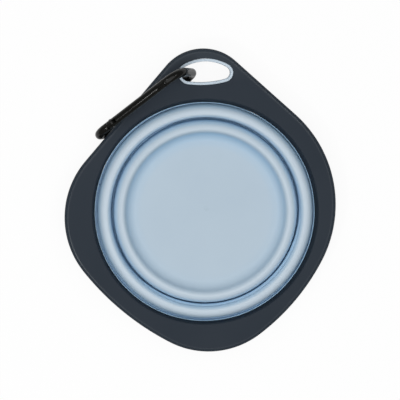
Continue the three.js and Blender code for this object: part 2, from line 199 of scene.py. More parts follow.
table_white, start, shader = finish("table_white", Base_Color=(0.92, 0.92, 0.92, 1.0), Roughness=0.9)
ray = start.node("ShaderNodeLightPath")
seen = [Wire(start.tree, ray.socket.node.outputs[key]) for key in
        ("Is Camera Ray", "Is Glossy Ray", "Is Transmission Ray")]
white_share = (seen[0] + MIRRORED * seen[1] + seen[2]) * GLOW_SHARE
white = start.node("ShaderNodeEmission", None, {"Color": (1.0, 1.0, 1.0, 1.0), "Strength": 1.0})
both = start.node("ShaderNodeMixShader", None, {0: white_share, 1: Wire(start.tree, shader.outputs[0]), 2: white})
start.tree.links.new(both.socket, start.tree.nodes["Material Output"].inputs["Surface"])
table_mesh.materials.append(table_white)
print(f"table at {TABLE:.2f} mm")

# %% [markdown]
# The light is a pale room with one large soft lamp overhead, as in a light tent. Two small lamps behind the bowl,
# left and right, draw a thin line of light along the rounded edge of the frame, and one at the lower left gives the
# carabiner its streak. A picture of a studio could light the scene too, but lamps are easier to place one by one.

# %% Room and lamps
ROOM = 0.2
world = bpy.data.worlds.new("room")
world.use_nodes = True
world.node_tree.nodes["Background"].inputs["Color"].default_value = (1.0, 1.0, 1.0, 1.0)
world.node_tree.nodes["Background"].inputs["Strength"].default_value = ROOM
bpy.context.scene.world = world
bpy.context.scene.view_settings.view_transform = "Standard"


def lamp(name, place, size, power):
    """A round soft lamp at a place in mm, turned to the middle of the bowl."""
    light = bpy.data.lights.new(name, "AREA")
    light.shape, light.size, light.energy = "DISK", size * MM, power
    made = bpy.data.objects.new(name, light)
    back = np.array(place) / np.linalg.norm(place)
    side = np.cross([0.0, 0.0, 1.0], back)
    side /= np.linalg.norm(side)
    stand = np.eye(4)
    stand[:3, :3] = np.stack([side, np.cross(back, side), back], axis=1)
    stand[:3, 3] = np.array(place) * MM
    made.matrix_world = Matrix(stand.tolist())
    bpy.context.scene.collection.objects.link(made)
    return made


lamps = [
    lamp("key_lamp", (10.0, -60.0, 930.0), 1300.0, 7.0),
    lamp("left_lamp", (-434.0, 330.0, 655.0), 150.0, 0.45),
    lamp("right_lamp", (417.0, 350.0, 655.0), 150.0, 0.45),
    lamp("streak_lamp", (-306.0, -216.0, 581.0), 72.0, 0.74),
]
print(f"{len(lamps)} lamps in a room of strength {ROOM}")

# %% [markdown]
# ## Skins
# Every piece is a skin over one or more grids of points: a profile turned about the bowl axis, or a section carried
# along a path. A Screw modifier or a bevelled curve could give such shapes, but a grid keeps exact sizes, and two
# grids can share an edge. The points are worked out with numpy as whole arrays, in millimetres, and only put into the
# mesh in metres. Points that meet, at a pole or on a shared edge, are merged, so that each skin is closed.

# %% Skins from grids
CREASE, MERGED, SLIVER = 32.0, 2e-7, 1e-8


def grid_faces(rows, columns, wrap_rows, wrap_columns):
    """Faces of a grid: each joins (i, j), (i, j+1), (i+1, j+1) and (i+1, j)."""
    index = np.arange(rows * columns).reshape(rows, columns)
    if wrap_rows:
        index = np.concatenate([index, index[:1]], axis=0)
    if wrap_columns:
        index = np.concatenate([index, index[:, :1]], axis=1)
    return np.stack([index[:-1, :-1], index[:-1, 1:], index[1:, 1:], index[1:, :-1]], axis=-1).reshape(-1, 4)


def skin(name, *grids, wrap_rows=False, wrap_columns=True):
    """One closed mesh over grids of points[i, j] in mm. Edges that turn more than CREASE degrees stay sharp."""
    points, faces, count = [], [], 0
    for grid in grids:
        points.append(grid.reshape(-1, 3))
        faces.append(grid_faces(*grid.shape[:2], wrap_rows, wrap_columns) + count)
        count += grid.shape[0] * grid.shape[1]
    mesh = bpy.data.meshes.new(name)
    mesh.from_pydata((np.concatenate(points) * MM).tolist(), [], np.concatenate(faces).tolist())
    edit = bmesh.new()
    edit.from_mesh(mesh)
    bmesh.ops.remove_doubles(edit, verts=edit.verts, dist=MERGED)
    bmesh.ops.dissolve_degenerate(edit, edges=edit.edges, dist=SLIVER)
    bmesh.ops.recalc_face_normals(edit, faces=edit.faces)
    loose = sum(not edge.is_manifold for edge in edit.edges)
    edit.to_mesh(mesh)
    edit.free()
    mesh.shade_smooth()
    mesh.set_sharp_from_angle(angle=np.radians(CREASE))
    made = bpy.data.objects.new(name, mesh)
    bpy.context.scene.collection.objects.link(made)
    triangles = sum(len(face.vertices) - 2 for face in mesh.polygons)
    print(f"{name}: {triangles} triangles, {loose} open edges")
    return made


def dress(piece, material, slot, *nodes, body=None):
    """Gives a piece its finish, lets it stand for its CAD nodes, if any, and has it ride on a body."""
    piece.data.materials.append(material)
    if nodes:
        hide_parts(*nodes)
    if body:
        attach(piece, body)
    return piece


print(f"edges over {CREASE:.0f} degrees stay sharp")


# %% Profiles
def arc(x, y, r, begin, end, step=4.0):
    """Points on a circle about (x, y), from one angle to another in degrees."""
    count = max(2, int(np.ceil(abs(end - begin) / step)) + 1)
    angle = np.radians(np.linspace(begin, end, count))
    return np.stack([x + r * np.cos(angle), y + r * np.sin(angle)], axis=1)


def line(begin, end, count=2):
    """Points on a straight line, both ends included."""
    return np.linspace(np.asarray(begin, float), np.asarray(end, float), count)


def profile(*parts):
    """Joins stretches of points into one profile and drops points that repeat."""
    points = np.concatenate(parts)
    keep = np.r_[True, np.linalg.norm(np.diff(points, axis=0), axis=1) > 1e-6]
    return points[keep]


AROUND = 288


def turned(points):
    """A profile of (radius, height) turned about the bowl axis: (r cos a, r sin a, z)."""
    angle = np.linspace(0.0, 2 * np.pi, AROUND, endpoint=False)
    r, z = points[:, :1], points[:, 1:]
    return np.stack([r * np.cos(angle), r * np.sin(angle), z + 0 * angle], axis=-1)


print(f"profiles are turned in {AROUND} steps")

# %% [markdown]
# ## Rubber
# The bowl is a soft thermoplastic rubber: pale grey blue with a satin skin from the mould. Light and shade are
# painted into its colour: the crests are painted paler, a painted highlight, and the folds, the outer groove and the
# lip are painted deeper, painted shade. The tints could be painted on each piece; ramps over the distance from the
# bowl axis were chosen, because folds and crests are rings and one finish then fits them all. The lining of the
# hanging hole lies beyond the ramps and takes the painted highlight all over. The rings lie a little off the axis, as
# the soft bowl does, and the painted shade round the edge of the floor is deeper on the side of the hanging hole. A
# fine grain, in the roughness and in a weak bump, breaks up the highlights, and slight clouding keeps the floor from
# looking painted.

# %% Rubber finish
RAMP_FROM, RAMP_TO, RINGS_AT = 26.0, 50.0, np.array([0.1, -0.3, 0.0])
# Painted shade: these stops darken the folds, the outer groove and the lip.
PAINTED_SHADE_RINGS = {38.4: 0.0, 39.6: 0.6, 40.8: 1.0, 41.8: 0.75, 42.6: 0.4, 43.4: 0.0,
           45.6: 0.0, 47.6: 1.0, 48.6: 1.0, 49.4: 0.0}
# Painted shade round the edge of the floor, made stronger on the side of the hanging hole below.
FLOOR_EDGE_SHADE = {28.0: 0.0, 31.0: 0.25, 33.0: 0.6, 34.8: 1.0, 36.2: 0.0}
# Painted highlight: these stops make the crests paler, and everything beyond the ramps, such as the hole lining.
PAINTED_HIGHLIGHT_RINGS = {35.8: 0.0, 37.0: 1.0, 37.6: 0.5, 38.8: 0.0,
             42.7: 0.0, 43.7: 1.0, 44.4: 0.9, 46.4: 0.0, 49.0: 0.0, 49.9: 1.0}
PALE_TINTS = (0.425, 0.53, 0.625, 1.0), (0.445, 0.55, 0.64, 1.0)
# The first tint is painted shade, the second a painted highlight.
PAINTED_SHADE_TINT, PAINTED_HIGHLIGHT_TINT = (0.32, 0.50, 0.68, 1.0), (0.53, 0.625, 0.71, 1.0)
SHADED_SIDE = -50.0, 36.0


def ring_ramp(start, stops):
    """A value over the distance from the middle of the rings: stops give it in mm, with smooth steps between them."""
    place = start.node("ShaderNodeTexCoord", out=3)
    across = start.node("ShaderNodeVectorMath", {"operation": "SUBTRACT"}, {0: place, 1: tuple(RINGS_AT * MM)})
    flat = start.node("ShaderNodeVectorMath", {"operation": "MULTIPLY"}, {0: across, 1: (1.0, 1.0, 0.0)})
    distance = start.node("ShaderNodeVectorMath", {"operation": "LENGTH"}, {0: flat}, out=1)
    ramp = start.node("ShaderNodeValToRGB", None, {0: distance.clipped(RAMP_FROM * MM, RAMP_TO * MM)})
    colours = ramp.socket.node.color_ramp
    colours.interpolation = "EASE"
    while len(colours.elements) < len(stops):
        colours.elements.new(1.0)
    for stop, (mm, value) in zip(colours.elements, stops.items()):
        stop.position = (mm - RAMP_FROM) / (RAMP_TO - RAMP_FROM)
        stop.color = (value, value, value, 1.0)
    return ramp


def towards_hole(start, begin, end):
    """0 to 1 on the way to the hanging hole: the object's own Y, from begin to end in mm."""
    place = start.node("ShaderNodeTexCoord", out=3)
    return start.node("ShaderNodeSeparateXYZ", None, {0: place}, out=1).clipped(begin * MM, end * MM)


rubber, start, shader = finish("pale_blue_rubber", Specular_IOR_Level=0.4)
cloud = noise(start, 38.0, 3.0).clipped(0.3, 0.7)
grain = noise(start, 5200.0, 2.0)
plain = cloud.mixed(*PALE_TINTS)
# Painted shade: folds, groove, lip, and the floor's edge, deeper towards the hanging hole.
painted_shade = ring_ramp(start, PAINTED_SHADE_RINGS) + ring_ramp(start, FLOOR_EDGE_SHADE) * towards_hole(start, *SHADED_SIDE)
# Painted highlight on the crests and the hole lining, over the painted shade.
tint = ring_ramp(start, PAINTED_HIGHLIGHT_RINGS).mixed(painted_shade.mixed(plain, PAINTED_SHADE_TINT), PAINTED_HIGHLIGHT_TINT)
dull = 0.46 + 0.10 * grain + 0.05 * cloud
bumps = start.node("ShaderNodeBump", None, {"Strength": 0.05, "Distance": 0.00003, "Height": grain})
plug(shader, Base_Color=tint, Roughness=dull, Normal=bumps)
print(f"rubber with {len(PAINTED_SHADE_RINGS) + len(FLOOR_EDGE_SHADE) + len(PAINTED_HIGHLIGHT_RINGS)} stops in its rings")

# %% [markdown]
# ## The bowl
# Folded flat, the wall of the bowl stands in two humps inside the collar of the frame. Each hump is an outer wall
# that turns inside out when the bowl is opened, an arch, and a rigid ring inside it. One skin could cover the whole
# bowl, but its rings move with different bodies, so each is a piece of its own. Crests and fold lines follow from
# radii, leans and heights, so that the pieces meet. The seams lie at the foot of a groove or on the arch, where both
# pieces have the same surface.

# %% Sizes of the bowl
COLLAR, CREST_Z, RUBBER, GAP = 49.2, 5.9, 1.0, 0.3
FOLD_LEAN, WALL_LEAN, SPLIT = 4.5, 3.9, 60.0
UPPER_ROUND, UPPER_INSIDE, LOWER_ROUND = 3.75, 2.1, 3.1
FOLD_Z, FOLD_HALF = -1.2, 0.3
LIP_OUTER, LIP_THICK, LIP_TOP, LIP_LOW, LIP_FOOT = 48.75, 0.5, 2.2, -4.8, 5.0
LIP_AT, LIP_GAP, LIP_REACH = np.array([-0.24, -0.38]), 0.05, 0.2
UPPER_OUTER, UPPER_FOOT = 47.76, LIP_LOW + LIP_FOOT


def toward(angle):
    """Unit vector at an angle in degrees."""
    return np.array([np.cos(np.radians(angle)), np.sin(np.radians(angle))])


def beside(lean, r, height):
    """How far beside its crest a leaning wall has its foot: (r + (height - r) sin lean) / cos lean."""
    lean = np.radians(lean)
    return (r + (height - r) * np.sin(lean)) / np.cos(lean)


fold_depth = CREST_Z - FOLD_Z
UPPER_CREST = UPPER_OUTER - beside(FOLD_LEAN, UPPER_ROUND, CREST_Z - UPPER_FOOT - GAP)
VALLEY = UPPER_CREST - beside(WALL_LEAN, UPPER_INSIDE, fold_depth) - FOLD_HALF / np.cos(np.radians(WALL_LEAN))
LOWER_CREST = VALLEY - beside(FOLD_LEAN, LOWER_ROUND, fold_depth) - FOLD_HALF / np.cos(np.radians(FOLD_LEAN))
print(f"crests at {UPPER_CREST:.2f} and {LOWER_CREST:.2f} mm, fold line at {VALLEY:.2f} mm")

# %% [markdown]
# The lip is the outer edge of the rubber, bonded into the collar of the frame: a thin rounded ring with a web under
# the outer groove. A Bevel modifier could round a plain ring, but a closed profile turned about the axis gives the
# round top and the web at once. The moulding sits a little off the middle of the collar, so the lip is shifted by
# LIP_AT, and the wall of the collar follows it later on, so that no gap opens between them.

# %% Lip
lip_inner = UPPER_OUTER - RUBBER - LIP_REACH
lip = profile(
    line((lip_inner, LIP_LOW), (LIP_OUTER, LIP_LOW), 6),
    line((LIP_OUTER, LIP_LOW), (LIP_OUTER, LIP_TOP - LIP_THICK / 2), 8),
    arc(LIP_OUTER - LIP_THICK / 2, LIP_TOP - LIP_THICK / 2, LIP_THICK / 2, 0, 180, 15),
    line((LIP_OUTER - LIP_THICK, LIP_TOP - LIP_THICK / 2), (LIP_OUTER - LIP_THICK, UPPER_FOOT), 6),
    line((LIP_OUTER - LIP_THICK, UPPER_FOOT), (lip_inner, UPPER_FOOT), 6),
)
lip_grid = turned(lip)
lip_grid[..., :2] += LIP_AT
dress(skin("bowl_lip_rubber", lip_grid, wrap_rows=True), rubber, "bowl_rubber", "bowl_lip", body="frame")

# %% [markdown]
# The folding walls are the leaning outer walls of the humps, each with its half of the arch. They could ride on one
# body as stiff rings, but the bowl would then come apart when it opens. Here they ride on no body and stay where they
# are drawn.

# %% Folding walls
WALL_ROWS = 30


def folding_wall(crest, r, foot_outside, foot_inside):
    """Leaning wall and arch of a hump as a closed section: outside up, over the arch to SPLIT, and back inside."""
    z = CREST_Z - r
    outside = arc(crest, z, r, FOLD_LEAN, SPLIT, 2)
    inside = arc(crest, z, r - RUBBER, SPLIT, FOLD_LEAN, 3)
    return profile(line(foot_outside, outside[0], WALL_ROWS), outside, inside,
                   line(inside[-1], foot_inside, WALL_ROWS), line(foot_inside, foot_outside, 5))


foot_shift = GAP * np.tan(np.radians(FOLD_LEAN))
upper_out = np.array([UPPER_OUTER + foot_shift, UPPER_FOOT])
upper_in = upper_out - (RUBBER / np.cos(np.radians(FOLD_LEAN)), 0.0)
upper = folding_wall(UPPER_CREST, UPPER_ROUND, upper_out, upper_in)
upper_fold = dress(skin("upper_fold_rubber", turned(upper), wrap_rows=True), rubber, "bowl_rubber", "upper_fold")
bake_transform(upper_fold)

fold_line = np.array([VALLEY, FOLD_Z])
lower_out = fold_line - FOLD_HALF * toward(FOLD_LEAN)
lower_in = fold_line - (FOLD_HALF + RUBBER) * toward(FOLD_LEAN)
lower = folding_wall(LOWER_CREST, LOWER_ROUND, lower_out, lower_in)
lower_fold = dress(skin("lower_fold_rubber", turned(lower), wrap_rows=True), rubber, "bowl_rubber", "lower_fold")
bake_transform(lower_fold)

# %% [markdown]
# The middle ring carries the inner half of the first hump, the wall below it and the fold line between the humps. On
# one side a crease with a small ledge runs along the top of that wall, where the rubber bends. A bump in the finish
# could hint at it, but a ledge casts a shadow, so it is part of the grid: a plain ring and a creased one are mixed by
# the angle about the axis.

# %% Middle ring
CREASE_Z, CREASE_WIDE, CREASE_DEEP = 4.45, 0.25, 0.3
LEDGE, LEDGE_HIGH, CREASE_AT, CREASE_SPREAD = 0.65, 1.0, -68.0, 1.2

wall_top = np.array([UPPER_CREST, CREST_Z - UPPER_INSIDE]) + UPPER_INSIDE * toward(180.0 - WALL_LEAN)
wall_foot = fold_line + FOLD_HALF * toward(-WALL_LEAN)


def smooth(t):
    """Smooth step: 0 below 0, 1 above 1, and 3 t^2 - 2 t^3 between."""
    t = np.clip(t, 0.0, 1.0)
    return t * t * (3.0 - 2.0 * t)


def creased(points):
    """The inner side of the ring with its crease: outwards in the crease by a bell over z, and below it inwards by a
    smooth step, the ledge, which runs out towards the fold line."""
    z = points[:, 1]
    notch = CREASE_DEEP * np.exp(-((z - CREASE_Z) / CREASE_WIDE) ** 2)
    runs_out = np.clip((z - FOLD_Z) / (CREASE_Z - LEDGE_HIGH - FOLD_Z), 0, 1)
    ledge = LEDGE * smooth((CREASE_Z - z) / LEDGE_HIGH) * runs_out
    return points + np.stack([notch - ledge, 0 * z], axis=1)


def ring_section(inner_side):
    """Closed section of the ring: over the arch, down its inner side, round the fold line and back inside."""
    arch = np.array([UPPER_CREST, CREST_Z - UPPER_ROUND])
    return profile(
        arc(*arch, UPPER_ROUND, SPLIT, 90, 2),
        inner_side,
        arc(VALLEY, FOLD_Z, FOLD_HALF, -WALL_LEAN, FOLD_LEAN - 180, 10),
        line(lower_out, lower_in, 5),
        arc(VALLEY, FOLD_Z, FOLD_HALF + RUBBER, FOLD_LEAN - 180, -WALL_LEAN, 8),
        arc(UPPER_CREST, CREST_Z - UPPER_INSIDE, UPPER_INSIDE - RUBBER, 180 - WALL_LEAN, 90, 10),
        arc(*arch, UPPER_ROUND - RUBBER, 90, SPLIT, 3),
        line(arch + (UPPER_ROUND - RUBBER) * toward(SPLIT), arch + UPPER_ROUND * toward(SPLIT), 5),
    )


inner_side = profile(arc(UPPER_CREST, CREST_Z - UPPER_INSIDE, UPPER_INSIDE, 90, 180 - WALL_LEAN, 2),
                     line(wall_top, wall_foot, 50))
plain_ring, creased_ring = turned(ring_section(inner_side)), turned(ring_section(creased(inner_side)))
ring_angle = np.arctan2(plain_ring[..., 1], plain_ring[..., 0])
crease_share = smooth(CREASE_SPREAD * np.cos(ring_angle - np.radians(CREASE_AT)))[..., None]
middle_grid = plain_ring * (1.0 - crease_share) + creased_ring * crease_share
dress(skin("middle_ring_rubber", middle_grid, wrap_rows=True), rubber, "bowl_rubber", "middle_ring", body="middle")

# %% [markdown]
# The base carries the crest of the second hump, a sloped wall and the floor. Its profile is turned like the others.
# The soft floor slants a little, and a small mark in its middle shows where the rubber was let into the mould.
# Neither is round about the axis, so they are added to the heights of the turned grid, on its upper side alone.

# %% Base
FLOOR_Z, CREST_ROUND, SLOPE, FILLET = 1.7, 2.4, 60.0, 4.6
HEEL, HEEL_ROUND, HEEL_MEET = 35.4, 1.6, 135.0
ASKEW, MARK_AT, MARK_RADIUS, MARK_HEIGHT, MARK_ROOM = 0.22, np.array([0.4, 1.2]), 0.8, 0.12, 4.0


def rounded(begin, corner, end, count=9):
    """Quadratic curve from begin to end that bends at the corner."""
    begin, corner, end = (np.asarray(p, float) for p in (begin, corner, end))
    t = np.linspace(0.0, 1.0, count)[:, None]
    return (1 - t) ** 2 * begin + 2 * t * (1 - t) * corner + t ** 2 * end


lower_z, hollow = CREST_Z - LOWER_ROUND, LOWER_ROUND - RUBBER
steep = np.radians(SLOPE)
straight = CREST_Z - FLOOR_Z - (CREST_ROUND + FILLET) * (1 - np.cos(steep))
floor_edge = LOWER_CREST - (CREST_ROUND + FILLET) * np.sin(steep) - straight / np.tan(steep)
base = profile(
    line((0.0, 0.0), (HEEL - HEEL_ROUND, 0.0), 40),
    rounded((HEEL - HEEL_ROUND, 0.0), (HEEL, 0.0), (HEEL, HEEL_ROUND)),
    arc(LOWER_CREST, lower_z, hollow, HEEL_MEET, SPLIT, 3),
    line((LOWER_CREST, lower_z) + hollow * toward(SPLIT), (LOWER_CREST, lower_z) + LOWER_ROUND * toward(SPLIT), 5),
    arc(LOWER_CREST, lower_z, LOWER_ROUND, SPLIT, 90, 2),
    arc(LOWER_CREST, CREST_Z - CREST_ROUND, CREST_ROUND, 90, 90 + SLOPE, 3),
    arc(floor_edge, FLOOR_Z + FILLET, FILLET, SLOPE - 90, -90, 3),
    line((floor_edge, FLOOR_Z), (MARK_ROOM, FLOOR_Z), 40),
    line((MARK_ROOM, FLOOR_Z), (0.0, FLOOR_Z), 28),
)
print(f"floor {floor_edge:.1f} mm to its edge, {straight:.2f} mm of straight slope")


def floor_heights(grid):
    """Heights with the slant, which takes each depth below the crests (1 + ASKEW y / crest radius) times, and with the
    mark, MARK_HEIGHT exp(-(distance / MARK_RADIUS)^4)."""
    slanted = CREST_Z - (CREST_Z - grid[..., 2]) * (1 + ASKEW * grid[..., 1] / LOWER_CREST)
    from_mark = np.linalg.norm(grid[..., :2] - MARK_AT, axis=-1)
    return slanted + MARK_HEIGHT * np.exp(-(from_mark / MARK_RADIUS) ** 4)


base_grid, crest_row = turned(base), np.argmax(base[:, 1])
base_grid[crest_row:, :, 2] = floor_heights(base_grid[crest_row:])
dress(skin("bowl_base_rubber", base_grid), rubber, "bowl_rubber", "bowl_base", body="base")

# %% [markdown]
# ## Slate plastic
# The frame is a rigid dark slate moulding with a fine even texture, as from a spark-eroded mould: it scatters the
# light, so the plate looks matt. Its rounded edge is rubbed smooth and catches a soft line of light, and the same
# band is also painted paler, a painted highlight. The lobe with the hanging hole is a little paler. A finish can't
# find an edge from coordinates alone, so it reads an attribute, inside_rim, which is filled in below when the frame
# has its mesh.

# %% Plastic finish
EDGE_BAND_INNER, EDGE_BAND_OUTER, PALER_LOBE = (2.0, 1.5), (0.3, 0.8), (57.0, 68.0)
SLATE_TINTS, PALER_LOBE_TINT = ((0.0155, 0.024, 0.036, 1.0), (0.0195, 0.028, 0.040, 1.0)), (0.030, 0.040, 0.052, 1.0)

slate, start, shader = finish("slate_plastic", Specular_IOR_Level=0.2)
cloud = noise(start, 30.0, 3.0).clipped(0.3, 0.7)
pits = noise(start, 2600.0, 3.0, 0.6)
inside_rim = start.node("ShaderNodeAttribute", {"attribute_name": "inside_rim"}, out=2)
# Painted highlight: the band inside the edge is tinted paler, and its roughness is also lower.
smooth_and_painted_edge = inside_rim.clipped(*EDGE_BAND_INNER) * inside_rim.clipped(*EDGE_BAND_OUTER)
# Paler towards the hanging hole.
paler_lobe = towards_hole(start, *PALER_LOBE)
tint = (0.5 * smooth_and_painted_edge + 0.9 * paler_lobe).mixed(cloud.mixed(*SLATE_TINTS), PALER_LOBE_TINT)
dull = 0.56 + 0.14 * pits - 0.34 * smooth_and_painted_edge
bumps = start.node("ShaderNodeBump", None, {"Strength": 0.12, "Distance": 0.00005, "Height": pits})
plug(shader, Base_Color=tint, Roughness=dull, Normal=bumps)
print(f"plastic rubbed {EDGE_BAND_OUTER[0]} to {EDGE_BAND_INNER[0]} mm inside its edge")

# %% [markdown]
# ## The frame's outline
# The outline is four lobes: a circle at each corner, joined by straight or slightly curved flanks that leave and meet
# the circles smoothly. The hanging hole is drawn the same way from two circles. A Bezier curve could be drawn by hand,
# but circles and lines are easy to offset: every one moves sideways, so one function gives the edge, its rounding and
# the wall of the hole.


# %% Outlines
def flank_between(a, b):
    """Outward angles where the flank leaves corner a and meets corner b, and the flank's own circle if it is curved."""
    span = np.hypot(b[0] - a[0], b[1] - a[1])
    heading = np.arctan2(b[1] - a[1], b[0] - a[0])
    if np.isinf(a[3]):
        angle = heading - np.pi / 2 + np.arcsin((a[2] - b[2]) / span)
        return angle, angle, None
    to_a, to_b = a[3] - a[2], a[3] - b[2]
    along = (to_a ** 2 - to_b ** 2 + span ** 2) / (2 * span)
    aside = np.sqrt(to_a ** 2 - along ** 2)
    x = a[0] + along * np.cos(heading) - aside * np.sin(heading)
    y = a[1] + along * np.sin(heading) + aside * np.cos(heading)
    return np.arctan2(a[1] - y, a[0] - x), np.arctan2(b[1] - y, b[0] - x), (x, y, a[3])


def bend(x, y, r, begin, end, offset, step):
    """Points on a circle of radius r + offset from one angle to another, about step apart, the last left out."""
    sweep = (end - begin) % (2 * np.pi)
    angle = begin + sweep * np.linspace(0.0, 1.0, max(2, int(sweep * r / step)), endpoint=False)
    return np.stack([x + (r + offset) * np.cos(angle), y + (r + offset) * np.sin(angle)], axis=1)


def stretches(corners, offset=0.0, step=0.15):
    """Corner, flank, corner, flank and so on, counter-clockwise, from corners (x, y, radius, flank radius).

    The same index is the same place on the outline at any offset.
    """
    count = len(corners)
    joins = [flank_between(a, corners[(i + 1) % count]) for i, a in enumerate(corners)]
    found = []
    for i, a in enumerate(corners):
        leave, reach, bow = joins[i]
        found.append(bend(*a[:3], joins[i - 1][1], leave, offset, step))
        if bow:
            found.append(bend(*bow, leave, reach, offset, step))
        else:
            out = np.array([np.cos(leave), np.sin(leave)])
            ends = [np.array(c[:2]) + (c[2] + offset) * out for c in (a, corners[(i + 1) % count])]
            t = np.linspace(0.0, 1.0, max(2, int(np.linalg.norm(ends[1] - ends[0]) / step)), endpoint=False)
            found.append(ends[0] + t[:, None] * (ends[1] - ends[0]))
    return found


def outline(corners, offset=0.0, step=0.15):
    """The whole outline as one array of points."""
    return np.concatenate(stretches(corners, offset, step))


STRAIGHT = np.inf
FRAME_CORNERS = [(-1.1, 50.5, 21.2, STRAIGHT), (-23.4, -2.5, 38.6, 118.0), (1.5, -25.3, 37.1, 97.0),
                 (3.7, 2.7, 53.8, STRAIGHT)]
HOLE_CORNERS = [(-7.3, 60.8, 4.65, 42.2), (7.9, 61.2, 4.05, 20.0)]
rim = outline(FRAME_CORNERS)
print("outline in mm:", np.round([rim.min(0), rim.max(0)], 1).tolist())

# %% [markdown]
# ## The frame
# The plate is a ring with a second hole in it, so one grid can't cover it. Two grids can: an outer one from the hole
# outwards, over the rounded edge and back underneath, and an inner one from the hole inwards, down the collar and
# back. Away from the hole they share a line in the middle of the plate. A third grid is the wall of the hole with its
# boss. The holes could be cut with a Boolean modifier, but grids give smooth rounded edges and the same rows every
# time. The wall of the collar leans in to the lip and follows its shift.

# %% Columns of the frame's grids
RIM_TOP, PLATE, EDGE_HEIGHT, EDGE_WALL, EDGE_ROUND = 6.5, 2.2, 4.5, 1.8, 1.8
MOUTH, MOUTH_ROUND, COLLAR_WALL, COLLAR_FOOT = 49.5, 0.8, 1.5, -5.7
BOSS_WALL, BOSS_FOOT, HOLE_ROUND, FOOT_ROUND, INSIDE_ROUND = 1.6, 0.1, 0.25, 0.4, 0.5
HOLE_GAP, HOLE_COLUMNS, REST_COLUMNS, HOLE_STEP = 0.05, 120, 460, 0.05
UNDER, EDGE_FOOT = RIM_TOP - PLATE, RIM_TOP - EDGE_HEIGHT

hole_line = outline(HOLE_CORNERS, 0.0, HOLE_STEP)
hole_right = int(np.argmax(hole_line[:, 0]))
hole_line = np.roll(hole_line, -hole_right, axis=0)
hole_left = int(np.argmin(hole_line[:, 0]))
FAR, NEAR = np.arange(hole_left + 1), np.r_[0, np.arange(len(hole_line) - 1, hole_left - 1, -1)]


def hole_side(side, offset):
    """One side of the hole from its right end to its left, points closer together at the ends: x by a cosine."""
    moved = np.roll(outline(HOLE_CORNERS, offset, HOLE_STEP), -hole_right, axis=0)[side]
    x = hole_line[side, 0]
    wanted = x[0] + (x[-1] - x[0]) * (0.5 - 0.5 * np.cos(np.linspace(0.0, np.pi, HOLE_COLUMNS)))
    return np.stack([np.interp(-wanted, -x, moved[:, k]) for k in range(2)], axis=1)


boss_far = hole_side(FAR, GAP + BOSS_WALL)
over_hole = np.arctan2(boss_far[:, 1].mean(), boss_far[:, 0])
past_hole = np.linspace(over_hole[-1], over_hole[0] + 2 * np.pi, REST_COLUMNS + 2)[1:-1]
column_angle = np.r_[over_hole, past_hole]
column_way = np.stack([np.cos(column_angle), np.sin(column_angle)], axis=1)


def rim_row(offset):
    """The frame's outline moved by an offset, met by a ray from the bowl axis in each column."""
    line_points = outline(FRAME_CORNERS, offset)
    angle = np.arctan2(line_points[:, 1], line_points[:, 0])
    return np.interp(column_angle, angle, np.hypot(*line_points.T), period=2 * np.pi)[:, None] * column_way


def middle_row(side, offset, inner, outer):
    """The hole's side in the columns over it, and from there round the bowl a line between two rows."""
    edge_points = hole_side(side, offset)
    ends = [np.hypot(*edge_points[k]) for k in (-1, 0)]
    gap = [np.hypot(*outer[k]) - np.hypot(*inner[k]) for k in (HOLE_COLUMNS - 1, 0)]
    share = [(ends[k] - np.hypot(*inner[(HOLE_COLUMNS - 1, 0)[k]])) / gap[k] for k in range(2)]
    t = np.linspace(share[0], share[1], REST_COLUMNS + 2)[1:-1, None]
    rest = inner[HOLE_COLUMNS:] * (1 - t) + outer[HOLE_COLUMNS:] * t
    return np.concatenate([edge_points, rest])


def raised(row, z):
    """A row of points (x, y) at the height z."""
    return np.c_[row, np.full(len(row), z)]


def between(first, last, count):
    """Rows that go straight from one row to another, both included."""
    t = np.linspace(0.0, 1.0, count)[:, None, None]
    return first * (1 - t) + last * t


print(f"{len(column_angle)} columns, {HOLE_COLUMNS} over the hole")

# %% Frame
top_inner, top_outer = (MOUTH + MOUTH_ROUND) * column_way, rim_row(-EDGE_ROUND)
under_inner = (COLLAR + COLLAR_WALL + INSIDE_ROUND) * column_way
under_outer = rim_row(-EDGE_WALL - INSIDE_ROUND)
HOLE_TOP, HOLE_BOSS = HOLE_GAP + HOLE_ROUND, GAP + BOSS_WALL

edge_section = profile(
    arc(-EDGE_ROUND, RIM_TOP - EDGE_ROUND, EDGE_ROUND, 90, 0, 5),
    arc(-FOOT_ROUND, EDGE_FOOT + FOOT_ROUND, FOOT_ROUND, 0, -90, 15),
    arc(FOOT_ROUND / 2 - EDGE_WALL, EDGE_FOOT + FOOT_ROUND / 2, FOOT_ROUND / 2, -90, -180, 30),
    arc(-EDGE_WALL - INSIDE_ROUND, UNDER - INSIDE_ROUND, INSIDE_ROUND, 0, 90, 15),
)
outer_grid = np.concatenate([
    between(raised(middle_row(FAR, HOLE_TOP, top_inner, top_outer), RIM_TOP), raised(top_outer, RIM_TOP), 9)[:-1],
    np.stack([raised(rim_row(offset), z) for offset, z in edge_section]),
    between(raised(under_outer, UNDER), raised(middle_row(FAR, HOLE_BOSS, under_inner, under_outer), UNDER), 7)[1:],
])
collar_section = profile(
    arc(MOUTH + MOUTH_ROUND, RIM_TOP - MOUTH_ROUND, MOUTH_ROUND, 90, 180, 6),
    line((MOUTH, RIM_TOP - MOUTH_ROUND), (LIP_OUTER + LIP_GAP, LIP_TOP), 12),
    arc(LIP_OUTER + LIP_GAP + FOOT_ROUND / 2, COLLAR_FOOT + FOOT_ROUND / 2, FOOT_ROUND / 2, 180, 270, 30),
    arc(COLLAR + COLLAR_WALL - FOOT_ROUND / 2, COLLAR_FOOT + FOOT_ROUND / 2, FOOT_ROUND / 2, 270, 360, 30),
    arc(COLLAR + COLLAR_WALL + INSIDE_ROUND, UNDER - INSIDE_ROUND, INSIDE_ROUND, 180, 90, 15),
)


def lip_share(r):
    """How far the collar's wall follows the lip's centre: not at its mouth, and fully at the lip."""
    return np.clip((MOUTH - r) / (MOUTH - LIP_OUTER - LIP_GAP), 0.0, 1.0)


